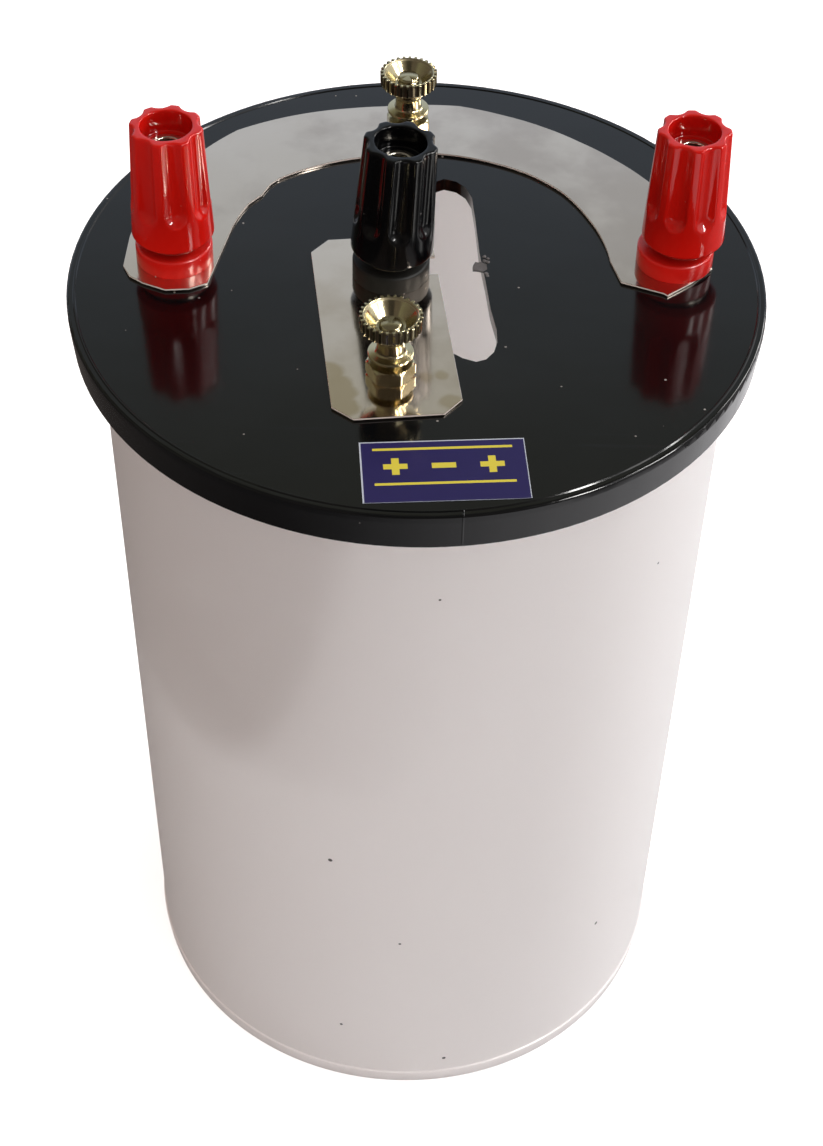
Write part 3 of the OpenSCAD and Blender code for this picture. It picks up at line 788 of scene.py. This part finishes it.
stud_r = 2 * mm
thread_pitch = 0.7 * mm
thread_depth = 0.36 * mm
collar_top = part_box("left_collar")[1].z
cap_low, cap_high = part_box("left_cap")
cap_foot = cap_low.z
cap_h = cap_high.z - cap_foot
cap_base_r = 7.4 * mm
cap_top_r = 6.45 * mm
cap_foot_r = cap_base_r - 1 * mm
cap_chamfer = 1 * mm
mouth_r = 4.55 * mm
mouth_depth = 4.2 * mm
bore_r = 3.25 * mm
recess_r = 5.95 * mm
recess_h = 0.35 * mm
flute_count = 8
flute_r = 2.7 * mm
flute_low = 8.5 * mm
flute_depth_end = 1.15 * mm
flute_depth_top = 0.85 * mm
rib_round = 0.3 * mm
cap_outline = stepped(rounded([
    (bore_r, recess_h, 0),
    (recess_r, recess_h, 0),
    (recess_r, 0, 0.12 * mm),
    (cap_foot_r, 0, 0.2 * mm),
    (cap_base_r, cap_chamfer, 0.5 * mm),
    (cap_top_r, cap_h, 0.35 * mm),
    (mouth_r, cap_h, 0.25 * mm),
    (mouth_r, cap_h - mouth_depth, 0.3 * mm),
    (bore_r, cap_h - mouth_depth, 0),
]), 0.45 * mm)
cap_shape = turned("cap_shape", cap_outline, 8 * 26)


def flute_press(angle, z, r):
    """Depth of the flutes: round-ended grooves that run out through the cap's top."""
    step = 2 * math.pi / flute_count
    off = (angle + step / 2) % step - step / 2
    body_r = cap_base_r - (cap_base_r - cap_top_r) * (z - cap_chamfer) / (cap_h - cap_chamfer)
    share = (z - flute_low) / (cap_h - flute_low)
    depth = flute_depth_end + (flute_depth_top - flute_depth_end) * share
    cutter_at = body_r - depth + flute_r
    cutter_r = math.sqrt(max(0, flute_r ** 2 - min(0, z - flute_low) ** 2))
    aside = cutter_at * math.sin(off)
    if abs(aside) >= cutter_r:
        return 0
    groove_r = cutter_at * math.cos(off) - math.sqrt(cutter_r ** 2 - aside ** 2)
    land = cap_top_r - 0.35 * mm - mouth_r
    share_out = min(1, max(0, (r - mouth_r) / land))
    return share_out * (body_r - smooth_min(body_r, groove_r, rib_round))


pressed(cap_shape, flute_press)
smoothed(cap_shape, 60)


def plastic_finish(name, colour, deep_colour, roughness, dust_amount, clearness=0, shine=0.5):
    """Glossy moulded plastic with faint waves and some dust."""
    moulded = Stuff(name)
    cloud = moulded.noise(0.006, 3)
    dust = moulded.dots(0.0022, 0.00016) * moulded.rise(moulded.noise(0.006, 1), 0.5, 0.62) * dust_amount
    base = moulded.blend(cloud, deep_colour, colour)
    return moulded.made({
        "Base Color": moulded.blend(dust, base, (0.45, 0.43, 0.41, 1)),
        "Roughness": roughness + 0.04 * cloud + 0.3 * dust,
        "Normal": moulded.relief(moulded.noise(0.0022, 2), 0.00002),
        "Subsurface Weight": clearness,
        "Subsurface Radius": (1, 0.1, 0.05),
        "Subsurface Scale": 0.0015,
        "Specular IOR Level": shine,
        "IOR": 1.5,
    })


bright_red = (0.62, 0.009, 0.005, 1)
deep_red = (0.54, 0.007, 0.004, 1)
red = plastic_finish("red_post_plastic", bright_red, deep_red, 0.06, 0.15, clearness=0.25)
red_satin = plastic_finish("red_collar_plastic", bright_red, deep_red, 0.24, 0.8, clearness=0.25)
black = plastic_finish(
    "black_post_plastic", (0.0030, 0.0033, 0.004, 1), (0.002, 0.002, 0.0025, 1), 0.13, 0.8, shine=0.25
)
dusty = plastic_finish(
    "dusty_black_plastic", (0.014, 0.0145, 0.012, 1), (0.006, 0.006, 0.005, 1), 0.5, 1, shine=0.2
)

plated = Stuff("plated_metal")
plated_metal = plated.made({
    "Base Color": plated.blend(plated.noise(0.002, 3), (0.70, 0.66, 0.58, 1), (0.58, 0.54, 0.47, 1)),
    "Metallic": 1,
    "Roughness": 0.16 + 0.12 * plated.noise(0.0012, 3),
})


def brass_finish(name, middle, darkened_r, darkened_low, darkened_high):
    """Pale polished brass with turning marks, made dark brown and matt inside a radius between two heights,
    in the knurl's notches.
    """
    metal = Stuff(name, middle)
    away = metal.from_axis()
    height = metal.along("Z")
    cloud = metal.noise(0.0025, 3)
    # Inside the knurl's notches the brass is made dark brown and matt.
    low_place = metal.rise(away, darkened_r, darkened_r - 0.00025)
    over_foot = metal.rise(height, darkened_low, darkened_low + 0.0002)
    under_rim = metal.rise(height, darkened_high, darkened_high - 0.0002)
    outside = metal.rise(away, 0.0042, 0.0046)
    notch_darkening = low_place * over_foot * under_rim * outside
    turning = metal.node("ShaderNodeMath", {"operation": "SINE"}, {0: away * 42000})
    colour = metal.blend(cloud, (0.53, 0.47, 0.30, 1), (0.43, 0.37, 0.22, 1))
    return metal.made({
        "Base Color": metal.blend(0.95 * notch_darkening, colour, (0.035, 0.024, 0.010, 1)),
        "Metallic": 1 - 0.8 * notch_darkening,
        "Roughness": 0.11 + 0.12 * cloud + 0.4 * notch_darkening,
        "Normal": metal.relief(0.5 * turning + 0.5 * metal.noise(0.0008, 2), 0.000004),
    })


stud_brass = brass_finish("stud_brass", (0, 0, 0), 0, 0, 0)


def threaded_bar(name, length, chamfer=0.35 * mm):
    """A studding bar at the origin, with its screw thread running up it and a chamfer at each end."""
    points = stepped(rounded([
        (0, 0, 0), (stud_r, 0, 0), (stud_r, length, 0), (0, length, 0)
    ]), thread_pitch / 8)
    on_face = [p for p in points if 0 < p.y < length or p.x in (0, stud_r)]
    bar_shape = turned(name, on_face, 40)

    def thread(angle, z, r):
        phase = (z / thread_pitch - angle / (2 * math.pi)) % 1
        groove = thread_depth * max(0, 1 - abs(phase - 0.5) * 2.6)
        from_end = min(z, length - z)
        end_cut = max(0, chamfer - from_end)
        return max(groove, end_cut) if r > stud_r / 2 else 0

    return smoothed(pressed(bar_shape, thread), 60)


def outline_ring(inner_r, outer_r, low, high, top_round, foot_round_r):
    """Outline of a plain ring with rounded outer corners."""
    return rounded([
        (inner_r, low, 0), (outer_r, low, foot_round_r), (outer_r, high, top_round), (inner_r, high, 0)
    ])


collar_h = collar_top - deck
collar_r = 6.9 * mm
collar_bore = 3.1 * mm
collar_shape = smoothed(turned(
    "collar_shape", outline_ring(collar_bore, collar_r, 0, collar_h, 0.5 * mm, 0.05 * mm), 128
), 50)

bush_low, bush_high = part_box("left_bush")
bush_shape = smoothed(turned(
    "bush_shape", outline_ring(stud_r, 6 * mm, 0, bush_high.z - bush_low.z, 0.1 * mm, 0.5 * mm), 96
), 50)

flange_drop = 0.75 * mm
flange_r = 5.7 * mm
flange_sink = 0.3 * mm
insert_r = 3.2 * mm
insert_top = 19.1 * mm
socket_r = 2.05 * mm
socket_foot = insert_top - 9.5 * mm
thread_top = socket_foot - 1 * mm
relief_r = 2.5 * mm
insert_bore = stud_r + 0.03 * mm
insert_shape = smoothed(turned("insert_shape", rounded([
    (insert_bore, -flange_drop, 0),
    (flange_r, -flange_drop, 0.12 * mm),
    (flange_r, flange_sink, 0.12 * mm),
    (insert_r, flange_sink, 0),
    (insert_r, insert_top, 0.25 * mm),
    (socket_r, insert_top, 0.3 * mm),
    (socket_r, socket_foot, 0),
    (relief_r, socket_foot, 0),
    (relief_r, thread_top, 0),
    (insert_bore, thread_top, 0),
]), 96), 40)

stud_low, stud_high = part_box("left_stud")
post_bar = threaded_bar("post_bar", stud_high.z - stud_low.z)
upright = Vector((0, 0, 1))
turns = {"left": math.radians(13), "centre": math.radians(8), "right": math.radians(24)}

# The right collar sits a little to the left of its stud.
collar_shifts = {"left": 0, "centre": 0, "right": -1.0 * mm}
for side, cap_paint, collar_paint, slot in (
    ("left", red, red_satin, "red_plastic"), ("centre", black, dusty, "post_black"),
    ("right", red, red_satin, "red_plastic")
):
    top_axis = axis_at(side + "_cap", collar_top)
    cap_axis = (top_axis[0] + top_axis[1] * (cap_foot - collar_top), top_axis[1])
    foot_at = Vector((top_axis[0].x, top_axis[0].y, 0))
    cap = placed(cap_shape, side + "_fluted_cap", cap_axis, turns[side])
    fitted(cap, cap_paint, side + "_cap", slot, side + "_cap")
    insert = placed(insert_shape, side + "_socket_insert", cap_axis)
    fitted(insert, plated_metal, side + "_insert", "plated_metal", side + "_insert")
    aside = Vector((collar_shifts[side], 0, 0))
    collar = placed(collar_shape, side + "_clamp_collar", (foot_at + aside + upright * deck, upright))
    fitted(collar, collar_paint, "lid", slot, side + "_collar")
    bush = placed(bush_shape, side + "_lid_bush", (foot_at + upright * bush_low.z, upright))
    fitted(bush, cap_paint, "lid", slot, side + "_bush")
    bar_piece = placed(post_bar, side + "_threaded_stud", (foot_at + upright * stud_low.z, upright))
    leaning = upright.rotation_difference(top_axis[1]).to_matrix().to_4x4()
    bend = Matrix.Translation(top_axis[0]) @ leaning @ Matrix.Translation(-top_axis[0])
    for vertex in bar_piece.data.vertices:
        if vertex.co.z > collar_top:
            vertex.co = bend @ vertex.co
    fitted(bar_piece, stud_brass, "lid", "brass", side + "_stud")
discard(cap_shape, insert_shape, collar_shape, bush_shape, post_bar)


# Terminals. On each brass stud a hexagon nut clamps the sheet, and a thumb nut screws down on a wire.
# The thumb nut has a flange and a narrow waist under a knurled head, turned out to a polished dish.
def hex_nut(name, af, height, bore):
    """A hexagon nut at the origin, with both faces turned to a chamfer."""
    corner_r = af / math.sqrt(3)
    lead = (corner_r - af / 2) * 0.75
    nut = turned(name, stepped(rounded([
        (bore, 0, 0.15 * mm), (af / 2, 0, 0), (corner_r, lead, 0),
        (corner_r, height - lead, 0), (af / 2, height, 0), (bore, height, 0.15 * mm)
    ]), 0.4 * mm), 96)

    def flats(angle, z, r):
        off = (angle + math.pi / 6) % (math.pi / 3) - math.pi / 6
        flat_r = smooth_min(af / 2 / math.cos(off), corner_r * 0.985, 0.1 * mm)
        return max(0, r - smooth_min(r, flat_r, 0.06 * mm)) if r > bore * 1.2 else 0

    return smoothed(pressed(nut, flats), 25)


nut_low, nut_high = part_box("front_lock_nut")
lock_nut = hex_nut("lock_nut_shape", 7.6 * mm, nut_high.z - nut_low.z, stud_r)

neck_low, neck_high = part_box("front_thumb_neck")
neck_foot = neck_low.z
neck_h = 4 * mm
neck_r = 2.75 * mm
neck_foot_r = 3.95 * mm
foot_band = 0.5 * mm
sleeve_r = 2.6 * mm
sleeve_top = neck_high.z - neck_low.z
waist_r = 2.45 * mm
neck_bore = stud_r + 0.03 * mm
neck_shape = smoothed(turned("neck_shape", rounded([
    (neck_bore, 0, 0),
    (neck_foot_r, 0, 0.12 * mm),
    (neck_foot_r, foot_band, 0.2 * mm),
    (waist_r, foot_band + 0.35 * mm, 0.6 * mm),
    (waist_r, neck_h - 1.1 * mm, 0.5 * mm),
    (neck_r, neck_h - 0.2 * mm, 0),
    (neck_r, neck_h, 0),
    (sleeve_r, neck_h, 0),
    (sleeve_r, sleeve_top, 0),
    (neck_bore, sleeve_top, 0),
]), 96), 40)

head_low, head_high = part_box("front_thumb_head")
head_foot = head_low.z
head_h = head_high.z - head_foot
head_r = 5.4 * mm
cone_h = 2 * mm
dish_r = 4.65 * mm
dish_floor = cone_h - 0.1 * mm
dish_floor_r = 2.6 * mm
seat_r = 2.65 * mm
seat_h = 1.15 * mm
knurls = 28
knurl_depth = 0.55 * mm
knurl_share = 0.64
head_outline = stepped(rounded([
    (seat_r, 0, 0),
    (neck_r, 0, 0.1 * mm),
    (head_r - 0.05 * mm, cone_h, 0.3 * mm),
    (head_r, head_h, 0.15 * mm),
    (dish_r, head_h, 0.15 * mm),
    (dish_floor_r - 0.1 * mm, dish_floor, 0.4 * mm),
    (neck_bore, dish_floor, 0),
    (neck_bore, seat_h, 0),
    (seat_r, seat_h, 0),
]), 0.3 * mm)
head_shape = turned("head_shape", head_outline, knurls * 12)


def knurl_press(angle, z, r):
    """Depth of the straight notches round the rim."""
    step = 2 * math.pi / knurls
    off = abs((angle + step / 2) % step - step / 2) / step
    side = (knurl_share / 2 - off) / 0.07
    notch = min(1, max(0, side))
    up_rim = min(1, max(0, (z - cone_h + 0.35 * mm) / (0.35 * mm)))
    land = head_r - 0.15 * mm - dish_r - 0.1 * mm
    out = min(1, max(0, (r - dish_r - 0.1 * mm) / land))
    return knurl_depth * notch * up_rim * out


pressed(head_shape, knurl_press)
smoothed(head_shape, 35)

nut_turns = {"front": math.radians(26), "back": math.radians(10)}
head_turns = {"front": 0, "back": math.radians(5)}
for end in ("front", "back"):
    axis = axis_at(end + "_thumb_head", 0)
    brass = brass_finish(end + "_brass", (axis[0].x, axis[0].y, 0), head_r - 0.1 * mm,
                         head_foot + cone_h - 0.3 * mm, head_foot + head_h - 0.05 * mm)

    def on_axis(height):
        return axis[0] + upright * height, upright

    nut = placed(lock_nut, end + "_hexagon_nut", on_axis(deck), nut_turns[end])
    fitted(nut, brass, "lid", "brass", end + "_lock_nut")
    neck = placed(neck_shape, end + "_waisted_neck", on_axis(neck_foot))
    fitted(neck, brass, end + "_thumb_neck", "brass", end + "_thumb_neck")
    head = placed(head_shape, end + "_knurled_head", on_axis(head_foot), head_turns[end])
    fitted(head, brass, end + "_thumb_head", "brass", end + "_thumb_head")
    low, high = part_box(end + "_stud")
    shank = threaded_bar(end + "_shank", high.z - low.z)
    stud = placed(shank, end + "_terminal_stud", on_axis(low.z))
    fitted(stud, stud_brass, "lid", "brass", end + "_stud")
    discard(shank)
discard(lock_nut, neck_shape, head_shape)


# Copper plates. Three sheets hang in the solution: an anode on each side and the cathode between.
# Each is bent over to a tab at the top, which two nuts clamp on its post's stud.
def copper_finish(name, middle):
    copper = Stuff(name, middle)
    cloud = copper.noise(0.014, 5)
    rolled = copper.noise(0.0012, 2, (1, 1, 20))
    dull = copper.rise(copper.noise(0.03, 3), 0.4, 0.65)
    colour = copper.blend(cloud, (0.80, 0.36, 0.20, 1), (0.62, 0.24, 0.12, 1))
    return copper.made({
        "Base Color": copper.blend(0.5 * dull, colour, (0.33, 0.13, 0.07, 1)),
        "Metallic": 1,
        "Roughness": 0.26 + 0.2 * cloud + 0.08 * rolled,
        "Normal": copper.relief(rolled + 0.4 * cloud, 0.00003),
    })


for node, name in (("left_anode", "left_copper_anode"), ("right_anode", "right_copper_anode"),
                   ("cathode", "copper_cathode")):
    low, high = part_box(node)
    plate = smoothed(broken_edges(traced(name, node), 0.12 * mm, 2, 30))
    fitted(plate, copper_finish(name + "_metal", (low + high) / 2), "lid", "copper", node)


# Nuts and washers under the lid. Plain plated steel, two nuts on each post's stud with the copper
# tab between them, and a washer and a nut on each terminal's stud.
steel = Stuff("plated_steel")
tone = steel.noise(0.002, 3)
plated_steel = steel.made({
    "Base Color": steel.blend(tone, (0.62, 0.62, 0.60, 1), (0.50, 0.50, 0.49, 1)),
    "Metallic": 1,
    "Roughness": 0.24 + 0.16 * tone,
    "Normal": steel.relief(steel.noise(0.0006, 2), 0.00001),
})
nut_af = 7 * mm
nut_h = 3.2 * mm
washer_r = 4.5 * mm
bush_foot = bush_low.z
upper_nut = bush_foot - nut_h
tab_t = 1 * mm
lower_nut = upper_nut - tab_t - nut_h
nut_shape = hex_nut("nut_shape", nut_af, nut_h, stud_r)
post_places = [axis_at(side + "_cap", collar_top)[0] for side in ("left", "centre", "right")]
terminal_places = [axis_at(end + "_thumb_head", 0)[0] for end in ("front", "back")]
random.seed(4)
nuts = []
for place in post_places:
    nuts += [(place, upper_nut), (place, lower_nut)]
washer_low, washer_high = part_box("lid_washers")
nuts += [(place, washer_low.z - nut_h) for place in terminal_places]


def joined(pieces, name):
    """One object made of several."""
    clear_selection()
    for piece in pieces:
        piece.select_set(True)
    bpy.context.view_layer.objects.active = pieces[0]
    bpy.ops.object.join()
    pieces[0].name = name
    return pieces[0]


nut_pieces = [
    placed(nut_shape, f"nut_{i}", (Vector((place.x, place.y, height)), upright), random.uniform(0, 1))
    for i, (place, height) in enumerate(nuts)
]
fitted(joined(nut_pieces, "clamping_nuts"), plated_steel, "lid", "steel", "lid_nuts")
washer_shape = smoothed(turned(
    "washer_shape", outline_ring(stud_r, washer_r, 0, washer_high.z - washer_low.z, 0.12 * mm, 0.12 * mm), 96
))
washer_pieces = [
    placed(washer_shape, f"washer_{i}", (Vector((place.x, place.y, washer_low.z)), upright))
    for i, place in enumerate(terminal_places)
]
fitted(joined(washer_pieces, "terminal_washers"), plated_steel, "lid", "steel", "lid_washers")
discard(nut_shape, washer_shape)
